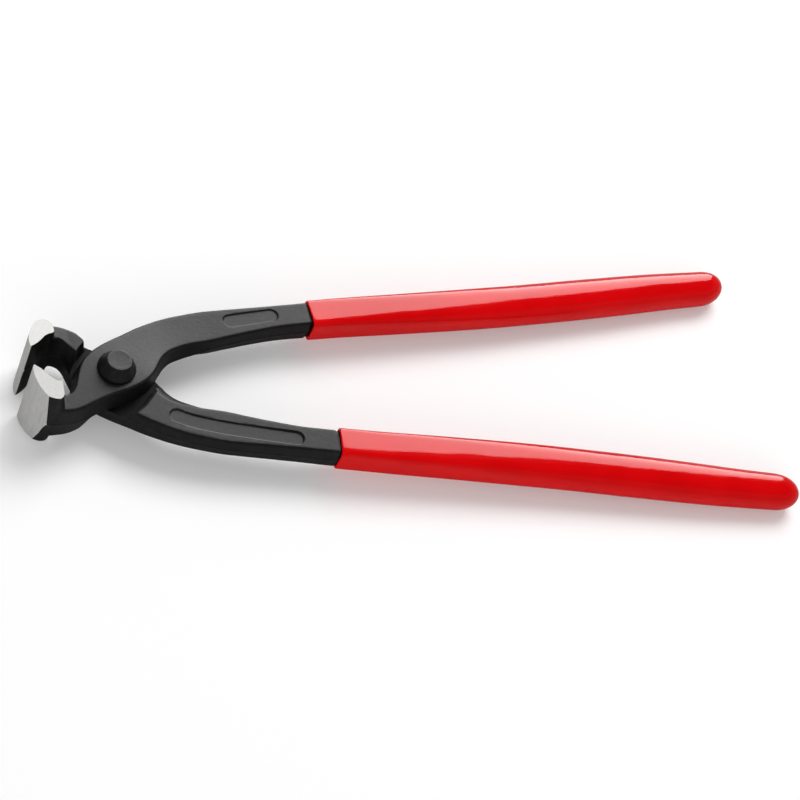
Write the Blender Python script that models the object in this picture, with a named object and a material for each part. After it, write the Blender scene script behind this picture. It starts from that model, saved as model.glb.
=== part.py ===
"""Rebar tying pliers: two crossed forged levers, a rivet and two dipped grips.

Lengths are metres and +Z is up. Every shape is drawn about the rivet's axis with the joint's mid
plane at zero height: +X runs along the handles and +Y towards the upper handle. The finished
pieces are then lifted, so that the frame's origin is the middle of the rivet's lower flat face.
"""
import math

import bpy
import numpy as np

# Head, seen from above
HEAD_REACH = 0.0291          # rivet axis to cutting edge
EDGE_GAP = 0.0038            # cutting edge to the long axis, with the jaws part open as drawn
EDGE_LAND = 0.0004           # blunt width of the cutting edge
JAW_HALF_WIDTH = 0.0140      # half the length of the cutting edge
JAW_BACK_HALF_WIDTH = 0.0104 # bed side of the jaw's outer end, from the mid plane
NECK_HALF_WIDTH = 0.0070     # half height of the arm between jaw and joint
JOINT_HALF_HEIGHT = 0.0072   # joint's mid plane to the top of its boss
JOINT_GAP = 0.0003           # running gap between the two halves of the lap
BED_RADIUS = 0.0147          # round seat in which the other lever's half turns
BED_ROOT_DROP = 0.0045       # depth and length of the seat's run-out towards the handle
BED_ROOT_LENGTH = 0.0062
BED_JAW_DROP = 0.0078        # depth of its wall towards the jaw
BED_JAW_LENGTHS = (0.0004, 0.0020)   # that wall's length at the arm's inner and outer side
BED_JAW_REACH = 0.0047       # past this distance the wall clears the jaw altogether
BED_JAW_CLEARING = 0.0024
BED_BLANK_REACH = 0.0165     # how far the cut is drawn past the level seat

# Handles
HANDLE_REACH = 0.2509        # rivet axis to the handle's end
HANDLE_SPREAD = 0.0466       # long axis to the middle of the handle's end
ROOT_HALF_HEIGHT = 0.0039    # half the handle's thickness near the joint
MOUTH_HALF_HEIGHT = 0.00455  # half the handle's thickness where the grip starts
FORGED_EDGE = 0.0009         # rounding of the forging's long edges
FORGED_DRAFT = math.tan(math.radians(7.0))

# Panels pressed into the handles' flats
PANEL_WIDTH = 0.0056
PANEL_OFFSET = 0.0006        # from the flat's middle towards the handle's outer side
PANEL_DEPTH = 0.0003

# Grips
GRIP_START = 0.0730          # rivet axis to the grip's mouth
GRIP_WALL = 0.0007
GRIP_TIP_WALL = 0.0018       # thickness of the closed end
GRIP_TIP_ROUND = 0.0085      # length of the rounded end
GRIP_MOUTH_HALF_WIDTH = 0.00540
GRIP_BELLY_HALF_WIDTH = 0.00700
GRIP_TIP_HALF_WIDTH = 0.00665
GRIP_MOUTH_HALF_HEIGHT = 0.00525
GRIP_BELLY_HALF_HEIGHT = 0.00595
GRIP_TIP_HALF_HEIGHT = 0.00600

# Rivet
RIVET_SHANK_RADIUS = 0.0040
RIVET_FLAT_RADIUS = 0.0042
RIVET_HEAD_RADIUS = 0.0064
RIVET_HEAD_HEIGHT = 0.0045

# Fits and cutting
FIT_GAP = 0.0003             # clearance between pieces that seat on each other
OVERRUN = 0.0300             # how far a cutter reaches past what it cuts

LIFT = JOINT_HALF_HEIGHT + FIT_GAP + RIVET_HEAD_HEIGHT

# Head outline, as shares of HEAD_REACH. Each row joins a point on the lever's upper left side to
# one on its lower right side, from behind the cutting edge, round the jaw and over the boss.
HEAD_RAIL_SHARES = (
    (-0.955, -0.150, -1.010, -0.215),
    (-0.910, -0.198, -0.998, -0.318),
    (-0.855, -0.250, -0.958, -0.430),
    (-0.795, -0.291, -0.893, -0.530),
    (-0.725, -0.323, -0.805, -0.590),
    (-0.672, -0.344, -0.700, -0.609),
    (-0.592, -0.344, -0.598, -0.606),
    (-0.545, -0.292, -0.500, -0.584),
    (-0.510, -0.215, -0.400, -0.541),
    (-0.482, -0.125, -0.290, -0.481),
    (-0.452, -0.030, -0.170, -0.421),
    (-0.408, 0.070, -0.030, -0.362),
    (-0.350, 0.158, 0.120, -0.301),
    (-0.268, 0.238, 0.268, -0.226),
    (-0.160, 0.327, 0.390, -0.138),
    (-0.025, 0.425, 0.475, -0.035),
    (0.130, 0.530, 0.535, 0.075),
    (0.290, 0.625, 0.600, 0.185),
    (0.450, 0.707, 0.690, 0.278),
    (0.620, 0.776, 0.810, 0.352),
    (0.810, 0.836, 0.965, 0.415),
)
# Heights of the jaw's rows above the mid plane, as shares of the step up to the jaw's full width:
# from the boss on the plate side and from the neck on the bed side, first at the upper left.
PLATE_RISE_SHARES = (
    (1, 1), (1, 1), (1, 1), (1, 1), (1, 1), (0.50, 0.40), (0.05, 0.03), (0, 0), (0, 0),
)
BED_RISE_SHARES = (
    (1, 1), (1, 1), (1, 1), (1, 1), (1, 1), (0.45, 0.60), (0.18, 0.30), (0.06, 0.10), (0, 0),
)
# The jaw is ground, so its rows have no draft or rounded edges: share of the forging's for each row
JAW_FORGED_SHARES = (0.0, 0.0, 0.0, 0.0, 0.15, 0.55, 0.85, 1.0, 1.0)
# From the joint on, shares of the step from the handle root's half height up to the boss
BOSS_RISE_SHARES = (1.0, 1.0, 1.0, 1.0, 1.0, 0.94, 0.82, 0.64, 0.44, 0.26, 0.12, 0.04)
# How far the bed side of a row stands back from the plate side, as shares of HEAD_REACH, so that
# the other lever has room to close.
BED_SETBACK_SHARES = (
    (0, 0), (0, 0), (0, 0), (0, 0), (0, 0), (0, 0), (0, 0), (0, 0.015), (0.03, 0.04),
    (0.07, 0.06), (0.05, 0.06), (0, 0), (0, 0), (0, 0.03), (0, 0.07), (0, 0.10), (0, 0.11),
    (0, 0.10), (0, 0.07), (0, 0.04), (0, 0.02),
)
# The bed reaches further out in the crotch, where the other lever's root swings in. Angles are
# degrees from +X, and the reach is a share of BED_RADIUS.
BED_CROTCH_SHARES = ((-15.0, 0.0), (-7.5, 0.40), (0.0, 0.40), (7.5, 0.17), (15.0, 0.0))
# The web in the crotch stands proud of both flats, as shares of HEAD_REACH for the last rows
CROTCH_WEB_SHARES = (0.0, 0.0, 0.0, 0.016, 0.026, 0.034, 0.046, 0.052)

# Handle sides beyond the head: place along the handle as a share of HANDLE_REACH, then the upper
# left side's and the lower right side's distance from the long axis as shares of HANDLE_SPREAD,
# and how far the row leans, as a share of HEAD_REACH.
HANDLE_RAIL_SHARES = (
    (0.138, 0.569, 0.303, 0.050),
    (0.170, 0.590, 0.347, 0.030),
    (0.205, 0.612, 0.393, 0.010),
    (0.245, 0.637, 0.438, 0.0),
)
# Grip's middle line: place along the handle and distance from the long axis
GRIP_LINE_SHARES = (
    (0.290, 0.568),
    (0.360, 0.612),
    (0.460, 0.667),
    (0.600, 0.750),
    (0.740, 0.841),
    (0.880, 0.934),
    (1.000, 1.000),
)
# Grip's section along its length: mouth to belly and belly to tip are blended at these shares
GRIP_BELLY_SHARE = 0.45
GRIP_MOUTH_SQUARENESS = 5.0
GRIP_TIP_SQUARENESS = 2.6

# Panels: the short one on the plate side, the long one on the bed side, as places along the
# handle, shares of HANDLE_REACH
SHORT_PANEL_SHARES = (0.163, 0.245)
LONG_PANEL_SHARES = (0.068, 0.243)

# Where the bed's jaw side starts and how far it blends with the handle's side, in degrees from +X
JAW_SIDE_START = 145.0
JAW_SIDE_BLEND = 14.0
# Between these directions the arm's end rounds off towards its outer side
ARM_CORNER_ANGLES = (222.0, 238.0)
# Limits of a section's details, as shares of its width, and the points of a rounded corner
LEAN_LIMIT_SHARE = 0.15
EDGE_LIMIT_SHARE = 0.20
SETBACK_LIMIT_SHARE = 0.30
GROUND_EDGE_SHARE = 0.08
ROUND_CORNER_SHARES = ((0.0, 1.0), (0.293, 0.293), (1.0, 0.0))

RING_POINTS = 16
GRIP_RING_POINTS = 24
GRIP_STATIONS = 13
TIP_STATIONS = 6
ROUND_STEPS = 48
BED_STEPS = 11
PANEL_END_STEPS = 6


def smooth_line(points, steps):
    """Smooth curve through points: Catmull-Rom pieces, sampled steps times between neighbours."""
    p = np.asarray(points, float)
    p = np.vstack((2 * p[0] - p[1], p, 2 * p[-1] - p[-2]))
    out = []
    for i in range(1, len(p) - 2):
        t = np.linspace(0.0, 1.0, steps, endpoint=False)[:, None]
        a, b, c, d = p[i - 1], p[i], p[i + 1], p[i + 2]
        out.append(0.5 * (2 * b + (c - a) * t + (2 * a - 5 * b + 4 * c - d) * t ** 2
                          + (3 * b - a - 3 * c + d) * t ** 3))
    out.append(p[-2][None, :])
    return np.vstack(out)


def make_mesh(name, rings):
    """Closed skin over a row of rings of equal point count, with flat ends, facing outwards."""
    n = len(rings[0])
    verts = np.vstack(rings)
    faces = [tuple(range(n - 1, -1, -1))]
    for i in range(len(rings) - 1):
        a, b = i * n, (i + 1) * n
        faces += [(a + j, a + (j + 1) % n, b + (j + 1) % n, b + j) for j in range(n)]
    last = (len(rings) - 1) * n
    faces.append(tuple(range(last, last + n)))
    mesh = bpy.data.meshes.new(name)
    mesh.from_pydata(verts.tolist(), [], faces)
    mesh.validate()
    if signed_volume(mesh) < 0:
        mesh.flip_normals()
    return mesh


def signed_volume(mesh):
    """Volume inside a closed mesh, negative when its faces point inwards."""
    mesh.calc_loop_triangles()
    co = np.array([v.co[:] for v in mesh.vertices])
    tri = np.array([t.vertices[:] for t in mesh.loop_triangles])
    a, b, c = co[tri[:, 0]], co[tri[:, 1]], co[tri[:, 2]]
    return float(np.einsum("ij,ij->i", a, np.cross(b, c)).sum())


def forged_ring(left, right, tops, bottoms, left_inset=0.0, right_inset=0.0, web=0.0,
                forged=1.0):
    """Section of the forging between two points of its sides.

    Sides lean in from the parting line at the mid plane by the forging draft and end in rounded
    edges. tops and bottoms are the flats' heights at the left and right side. The insets set the
    bed side back, web lets the parting line stand out on the right, and forged is the share of
    the draft and the edge rounding that this row has.
    """
    left, right = np.asarray(left), np.asarray(right)
    across = right - left
    width = float(np.hypot(*across))
    across = across / width
    points = []

    def put(place, z):
        points.append((*(left + across * place), z))

    def side(height, from_right, setback):
        lean = min(abs(height) * FORGED_DRAFT, width * LEAN_LIMIT_SHARE) * forged
        edge = min(FORGED_EDGE, width * EDGE_LIMIT_SHARE) * max(forged, GROUND_EDGE_SHARE)
        rim = lean + min(setback, width * SETBACK_LIMIT_SHARE)
        for inward, down in ROUND_CORNER_SHARES:
            place = rim + edge * inward
            drop = math.copysign(edge * down, height)
            yield (width - place if from_right else place), height - drop

    proud = min(web, width * SETBACK_LIMIT_SHARE)
    put(width + proud, 0.0)
    for place, z in side(tops[1], True, 0.0):
        put(place, z)
    put(width / 2, (tops[0] + tops[1]) / 2)
    for place, z in reversed(list(side(tops[0], False, 0.0))):
        put(place, z)
    put(0.0, 0.0)
    for place, z in side(-bottoms[0], False, left_inset):
        put(place, z)
    put(width / 2, -(bottoms[0] + bottoms[1]) / 2)
    for place, z in reversed(list(side(-bottoms[1], True, right_inset))):
        put(place, z)
    return np.array(points)


def oval_ring(x, y, half_width, half_height, squareness, count):
    """Superellipse across the handle: |dy/w|^n + |dz/h|^n = 1, starting at its -Y side."""
    t = np.arange(count) * 2 * math.pi / count
    c, s = np.cos(t), np.sin(t)
    power = 2.0 / squareness
    dy = -half_width * np.sign(c) * np.abs(c) ** power
    dz = half_height * np.sign(s) * np.abs(s) ** power
    return np.column_stack((np.full(count, x), y + dy, dz))


def head_rings():
    """Rings of the jaw and boss, from the cutting edge to the root of the handle."""
    rails = np.array(HEAD_RAIL_SHARES) * HEAD_REACH
    # the table is drawn for the gap that EDGE_GAP names, so the tip itself follows that size
    edge = np.array((-HEAD_REACH, -EDGE_GAP))
    rings = []
    jaw_rows = len(PLATE_RISE_SHARES)
    web_from = len(rails) - len(CROTCH_WEB_SHARES)
    tip_top = (JAW_HALF_WIDTH, JAW_HALF_WIDTH)
    half_land = np.array((EDGE_LAND / 2, 0.0))
    rings.append(forged_ring(edge + half_land, edge - half_land, tip_top, tip_top, forged=0.0))
    depth = -HEAD_REACH * HEAD_RAIL_SHARES[jaw_rows // 2][3] - EDGE_GAP
    slope = (JAW_HALF_WIDTH - JAW_BACK_HALF_WIDTH) / depth
    for row, (ulx, uly, lrx, lry) in enumerate(rails):
        setback = np.array(BED_SETBACK_SHARES[row]) * HEAD_REACH
        web = CROTCH_WEB_SHARES[row - web_from] * HEAD_REACH if row >= web_from else 0.0
        if row < jaw_rows:
            tops = [JOINT_HALF_HEIGHT + (JAW_HALF_WIDTH - JOINT_HALF_HEIGHT) * r
                    for r in PLATE_RISE_SHARES[row]]
            full = [JAW_HALF_WIDTH - slope * max(-y - EDGE_GAP, 0.0) for y in (uly, lry)]
            bottoms = [NECK_HALF_WIDTH + (f - NECK_HALF_WIDTH) * r
                       for f, r in zip(full, BED_RISE_SHARES[row])]
            forged = JAW_FORGED_SHARES[row]
        else:
            rise = BOSS_RISE_SHARES[row - jaw_rows]
            top = ROOT_HALF_HEIGHT + (JOINT_HALF_HEIGHT - ROOT_HALF_HEIGHT) * rise
            tops = (top, top)
            forged = 1.0
            on_jaw_side = row < jaw_rows + 2
            bottoms = (NECK_HALF_WIDTH,) * 2 if on_jaw_side else (ROOT_HALF_HEIGHT,) * 2
        rings.append(forged_ring((ulx, uly), (lrx, lry), tops, bottoms, *setback, web, forged))
    return rings


def handle_rings():
    """Rings of the bare handle, up to the shoulder in front of the grip."""
    rings = []
    first = HANDLE_RAIL_SHARES[0][0] * HANDLE_REACH
    rows = [(along * HANDLE_REACH, left * HANDLE_SPREAD, right * HANDLE_SPREAD, lean * HEAD_REACH)
            for along, left, right, lean in HANDLE_RAIL_SHARES]
    shoulder = GRIP_START - FIT_GAP
    middle = grip_line(GRIP_START)
    half = GRIP_MOUTH_HALF_WIDTH - GRIP_WALL
    rows = [row for row in rows if row[0] < shoulder - HEAD_REACH / 4]
    rows.append((shoulder, middle + half, middle - half, 0.0))
    for along, left, right, lean in rows:
        grown = (along - first) / (shoulder - first)
        h = ROOT_HALF_HEIGHT + (MOUTH_HALF_HEIGHT - ROOT_HALF_HEIGHT) * grown
        rings.append(forged_ring((along - lean, left), (along + lean, right), (h, h), (h, h)))
    return rings


def grip_line(x):
    """Distance of the handle's middle line from the long axis at a place along the handle."""
    line = smooth_line(GRIP_LINE_SHARES, GRIP_STATIONS)
    return float(np.interp(x, line[:, 0] * HANDLE_REACH, line[:, 1] * HANDLE_SPREAD))


def grip_size(x):
    """Half width, half height and squareness of the grip's outer section at a place."""
    share = (x - GRIP_START) / (HANDLE_REACH - GRIP_START)
    share = min(max(share, 0.0), 1.0)
    if share < GRIP_BELLY_SHARE:
        blend = math.sin(share / GRIP_BELLY_SHARE * math.pi / 2)
        width = GRIP_MOUTH_HALF_WIDTH + (GRIP_BELLY_HALF_WIDTH - GRIP_MOUTH_HALF_WIDTH) * blend
        height = GRIP_MOUTH_HALF_HEIGHT + (GRIP_BELLY_HALF_HEIGHT - GRIP_MOUTH_HALF_HEIGHT) * blend
    else:
        blend = 1 - math.cos((share - GRIP_BELLY_SHARE) / (1 - GRIP_BELLY_SHARE) * math.pi / 2)
        width = GRIP_BELLY_HALF_WIDTH + (GRIP_TIP_HALF_WIDTH - GRIP_BELLY_HALF_WIDTH) * blend
        height = GRIP_BELLY_HALF_HEIGHT + (GRIP_TIP_HALF_HEIGHT - GRIP_BELLY_HALF_HEIGHT) * blend
    ease = min(share / GRIP_BELLY_SHARE, 1.0)
    squareness = GRIP_MOUTH_SQUARENESS + (GRIP_TIP_SQUARENESS - GRIP_MOUTH_SQUARENESS) * ease
    return width, height, squareness


def oval_run(start, end, inset, round_length, count):
    """Rings from start to a rounded end, standing inset inside the grip's outer skin."""
    body_end = end - round_length
    places = [(x, 1.0) for x in np.linspace(start, body_end, GRIP_STATIONS)]
    for turn in np.linspace(0.0, math.pi / 2, TIP_STATIONS + 1)[1:]:
        places.append((body_end + round_length * math.sin(turn), max(math.cos(turn), 0.12)))
    rings = []
    for x, shrink in places:
        width, height, squareness = grip_size(x)
        rings.append(oval_ring(x, grip_line(x), (width - inset) * shrink,
                               (height - inset) * shrink, squareness, count))
    return rings


def tang_rings():
    """Rings of the handle inside the grip, one fit gap clear of it all round."""
    inset = GRIP_WALL + FIT_GAP
    end = HANDLE_REACH - GRIP_TIP_WALL - FIT_GAP
    run = oval_run(GRIP_START - FIT_GAP, end, inset, GRIP_TIP_ROUND - FIT_GAP, RING_POINTS)
    return run


def bed_drop(run, toward_jaw, wall_length):
    """How far the bed's floor lies under the lap at a distance outside its level part.

    Both ways it falls as drop * (1 - exp(-run / length)): in a long ease towards the handle, and
    steeply towards the jaw, where it then falls away below the jaw's full width.
    """
    eased = BED_ROOT_DROP * (1 - math.exp(-run / BED_ROOT_LENGTH))
    clearing = max(run - BED_JAW_REACH, 0.0) / BED_JAW_CLEARING
    steep = BED_JAW_DROP * (1 - math.exp(-run / wall_length) + clearing ** 2)
    return eased + (steep - eased) * toward_jaw


def bed_cutter():
    """Solid below the lap's floor: polar rings about the rivet's axis, closed underneath."""
    runs = BED_BLANK_REACH * np.linspace(0.0, 1.0, BED_STEPS) ** 1.6
    split, blend_angle = math.radians(JAW_SIDE_START), math.radians(JAW_SIDE_BLEND)
    inner_length, outer_length = BED_JAW_LENGTHS
    verts = []
    for run in runs:
        for step in range(ROUND_STEPS):
            angle = 2 * math.pi * step / ROUND_STEPS
            turned = (angle - split) % (2 * math.pi)
            from_edge = min(turned, math.pi - turned) if turned < math.pi else -min(
                turned - math.pi, 2 * math.pi - turned)
            toward_jaw = min(max(0.5 + from_edge / blend_angle, 0.0), 1.0)
            across_arm = float(np.interp(math.degrees(angle), ARM_CORNER_ANGLES, (0.0, 1.0)))
            wall_length = inner_length + (outer_length - inner_length) * across_arm
            drop = bed_drop(run, toward_jaw, wall_length)
            from_x = math.degrees((angle + math.pi) % (2 * math.pi) - math.pi)
            radius = run + BED_RADIUS * (1 + float(np.interp(from_x, *zip(*BED_CROTCH_SHARES))))
            verts.append((radius * math.cos(angle), radius * math.sin(angle),
                          JOINT_GAP / 2 - drop))
    outer = len(runs) - 1
    under = len(verts)
    for step in range(ROUND_STEPS):
        x, y, _ = verts[outer * ROUND_STEPS + step]
        verts.append((x, y, -OVERRUN))
    faces = [tuple(range(ROUND_STEPS))]
    starts = [i * ROUND_STEPS for i in range(outer + 1)] + [under]
    for a, b in zip(starts, starts[1:]):
        faces += [(a + (j + 1) % ROUND_STEPS, a + j, b + j, b + (j + 1) % ROUND_STEPS)
                  for j in range(ROUND_STEPS)]
    faces.append(tuple(range(under + ROUND_STEPS - 1, under - 1, -1)))
    mesh = bpy.data.meshes.new("bed")
    mesh.from_pydata(verts, [], faces)
    if signed_volume(mesh) < 0:
        mesh.flip_normals()
    return mesh


def handle_middle(x):
    """Middle of the handle's flat at a place along it, between the head's rows and the grip."""
    head = np.array(HEAD_RAIL_SHARES[-4:]) * HEAD_REACH
    points = [((a + c) / 2, (b + d) / 2) for a, b, c, d in head]
    points += [(along * HANDLE_REACH, (left + right) / 2 * HANDLE_SPREAD)
               for along, left, right, _ in HANDLE_RAIL_SHARES]
    points = np.array(points)
    return float(np.interp(x, points[:, 0], points[:, 1]))


def panel_cutter(shares, floor, height):
    """Stadium-shaped prism that follows the handle's middle line and cuts a panel from floor."""
    start, end = (share * HANDLE_REACH for share in shares)
    r = PANEL_WIDTH / 2
    xs = np.linspace(start + r, end - r, 9)
    mids = np.column_stack((xs, [handle_middle(x) + PANEL_OFFSET for x in xs]))
    along = np.gradient(mids, axis=0)
    along /= np.linalg.norm(along, axis=1)[:, None]
    across = np.column_stack((-along[:, 1], along[:, 0]))
    turns = np.linspace(-math.pi / 2, math.pi / 2, PANEL_END_STEPS + 2)[1:-1]
    outline = list(mids - across * r)
    outline += [mids[-1] + along[-1] * r * math.cos(t) + across[-1] * r * math.sin(t)
                for t in turns]
    outline += list((mids + across * r)[::-1])
    outline += [mids[0] - along[0] * r * math.cos(t) - across[0] * r * math.sin(t)
                for t in turns]
    outline = np.array(outline)
    low = np.column_stack((outline, np.full(len(outline), floor)))
    high = np.column_stack((outline, np.full(len(outline), height)))
    return make_mesh("panel", (low, high))


def disc_rings(profile):
    """Rings of a turned shape about the rivet's axis from (radius, height) points."""
    t = np.arange(ROUND_STEPS) * 2 * math.pi / ROUND_STEPS
    return [np.column_stack((r * np.cos(t), r * np.sin(t), np.full(ROUND_STEPS, z)))
            for r, z in profile]


def material(name, colour, roughness, metallic):
    mat = bpy.data.materials.new(name)
    mat.use_nodes = True
    shader = mat.node_tree.nodes["Principled BSDF"]
    shader.inputs["Base Color"].default_value = (*colour, 1.0)
    shader.inputs["Roughness"].default_value = roughness
    shader.inputs["Metallic"].default_value = metallic
    return mat


def add_object(name, mesh, mat=None):
    obj = bpy.data.objects.new(name, mesh)
    bpy.context.scene.collection.objects.link(obj)
    if mat:
        mesh.materials.clear()
        mesh.materials.append(mat)
        mesh.shade_smooth()
        mesh.set_sharp_from_angle(angle=math.radians(28.0))
    return obj


def cut_away(mesh, cutters):
    """The mesh with each cutter mesh taken out of it."""
    body = add_object("body", mesh)
    tools = []
    for cutter in cutters:
        tool = add_object("cutter", cutter)
        tool.hide_render = True
        tool.display_type = "WIRE"
        mod = body.modifiers.new("cut", "BOOLEAN")
        mod.operation = "DIFFERENCE"
        mod.object = tool
        tools.append(tool)
    bpy.context.view_layer.update()
    graph = bpy.context.evaluated_depsgraph_get()
    result = bpy.data.meshes.new_from_object(body.evaluated_get(graph))
    for obj in [body] + tools:
        bpy.data.objects.remove(obj, do_unlink=True)
    return result


def lever_mesh():
    """One forging: plate side up, jaw at -X, with its bed, rivet hole and pressed panels."""
    solid = make_mesh("lever", head_rings() + handle_rings() + tang_rings())
    hole_radius = RIVET_SHANK_RADIUS + FIT_GAP
    hole = make_mesh("hole", disc_rings(((hole_radius, -OVERRUN), (hole_radius, OVERRUN))))
    flat = ROOT_HALF_HEIGHT
    panels = [
        panel_cutter(SHORT_PANEL_SHARES, flat + panel_rise(SHORT_PANEL_SHARES) - PANEL_DEPTH,
                     OVERRUN),
        panel_cutter(LONG_PANEL_SHARES, -OVERRUN,
                     PANEL_DEPTH - flat - panel_rise(LONG_PANEL_SHARES)),
    ]
    return cut_away(solid, [bed_cutter(), hole] + panels)


def panel_rise(shares):
    """How much the handle has thickened at the middle of a panel."""
    x = sum(shares) / 2 * HANDLE_REACH
    first = HANDLE_RAIL_SHARES[0][0] * HANDLE_REACH
    grown = max((x - first) / (GRIP_START - FIT_GAP - first), 0.0)
    return (MOUTH_HALF_HEIGHT - ROOT_HALF_HEIGHT) * grown


def grip_mesh():
    """Closed sleeve: an outer skin with a rounded tip, and the tang's cavity inside it."""
    outer = oval_run(GRIP_START, HANDLE_REACH, 0.0, GRIP_TIP_ROUND, GRIP_RING_POINTS)
    inner = oval_run(GRIP_START, HANDLE_REACH - GRIP_TIP_WALL, GRIP_WALL, GRIP_TIP_ROUND,
                     GRIP_RING_POINTS)
    return make_mesh("grip", inner[::-1] + outer)


def rivet_mesh():
    """Shank with a flat-topped cone head at both ends, turned about the rivet's axis."""
    seat = JOINT_HALF_HEIGHT + FIT_GAP
    top = seat + RIVET_HEAD_HEIGHT
    rim = RIVET_HEAD_HEIGHT * 0.08
    half = ((RIVET_SHANK_RADIUS, seat), (RIVET_HEAD_RADIUS, seat),
            (RIVET_HEAD_RADIUS, seat + rim), (RIVET_FLAT_RADIUS + rim, top - rim),
            (RIVET_FLAT_RADIUS, top))
    profile = [(r, -z) for r, z in reversed(half)] + list(half)
    return make_mesh("rivet", disc_rings(profile))


def build():
    for obj in list(bpy.data.objects):
        bpy.data.objects.remove(obj, do_unlink=True)
    steel = material("black_oxide_steel", (0.085, 0.084, 0.080), 0.45, 0.6)
    rivet_steel = material("rivet_steel", (0.075, 0.074, 0.070), 0.42, 0.6)
    vinyl = material("red_vinyl", (0.60, 0.010, 0.014), 0.22, 0.0)

    fixed = bpy.data.objects.new("upper_side", None)
    turning = bpy.data.objects.new("lower_side", None)
    for empty in (fixed, turning):
        bpy.context.scene.collection.objects.link(empty)
        empty.location = (0.0, 0.0, LIFT)
    turning.rotation_euler = (math.pi, 0.0, 0.0)

    lever, grip = lever_mesh(), grip_mesh()
    pieces = (
        ("upper_lever", lever, steel, fixed),
        ("lower_lever", lever, steel, turning),
        ("upper_grip", grip, vinyl, fixed),
        ("lower_grip", grip, vinyl, turning),
        ("pivot_rivet", rivet_mesh(), rivet_steel, fixed),
    )
    for name, mesh, mat, parent in pieces:
        add_object(name, mesh, mat).parent = parent


build()
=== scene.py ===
"""Looks of the rebar tying pliers: two forged levers with ground jaws, a rivet, dipped grips.

Shapes are drawn in millimetres about the rivet's axis, with the joint's mid plane at zero height,
in the upper lever's own frame: +X to the handles, +Y to its handle and +Z out of its plate side.
The lower lever is the same forging after half a turn about X. Both are then lifted, so that the
frame's origin is the middle of the rivet's lower flat face, and the meshes are made in metres.
"""
import math

import bpy
import numpy as np
from mathutils import Matrix, Vector


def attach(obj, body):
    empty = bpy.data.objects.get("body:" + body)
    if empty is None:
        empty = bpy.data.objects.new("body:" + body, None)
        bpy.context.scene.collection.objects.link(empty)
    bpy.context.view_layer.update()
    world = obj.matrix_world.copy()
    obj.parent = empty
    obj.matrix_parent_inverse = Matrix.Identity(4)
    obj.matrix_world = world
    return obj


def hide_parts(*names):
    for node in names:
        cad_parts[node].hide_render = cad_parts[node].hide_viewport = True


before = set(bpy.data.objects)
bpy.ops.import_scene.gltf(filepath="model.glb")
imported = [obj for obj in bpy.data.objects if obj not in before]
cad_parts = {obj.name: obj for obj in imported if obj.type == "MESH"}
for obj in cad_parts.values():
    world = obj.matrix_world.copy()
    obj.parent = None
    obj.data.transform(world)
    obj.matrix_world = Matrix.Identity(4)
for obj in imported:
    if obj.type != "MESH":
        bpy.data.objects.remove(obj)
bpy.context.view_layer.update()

MM = 0.001
LIFT = 12.0                 # joint's mid plane above the rivet's lower flat face
CURVE_STEPS = 8             # steps between two points of a curve, where they aren't given

# Forging
FORGED_EDGE = 0.95          # rounding of the forging's long edges,
FORGED_EDGE_SHARE = 0.2     # and at most this share of the width
LEAN_SHARE = 0.4            # a side leans in by at most this share of the width
HANDLE_DRAFT = math.tan(math.radians(7.5))
PLATE_FLANK_DRAFT = math.tan(math.radians(4.0))     # outer side of the jaw, above the parting
BED_FLANK_DRAFT = math.tan(math.radians(6.0))       # and below it
PARTING_ROUND = 0.5         # softness of the ridge at the parting line
PARTING_RIDGE = 0.16        # what trimming leaves of the flash there,
PARTING_FADE = 0.35         # and the height in which it fades
WEB_TAPER = 1.4             # power by which the crotch's web thins with height
JAW_BLANK_HEIGHT = 15.6     # forged height of the jaw before its sides are ground
JOINT_GAP = 0.3             # between the two levers' faces in the joint
BED_RADIUS = 14.7
SHANK_HOLE = 4.3            # radius of the rivet's hole

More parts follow.
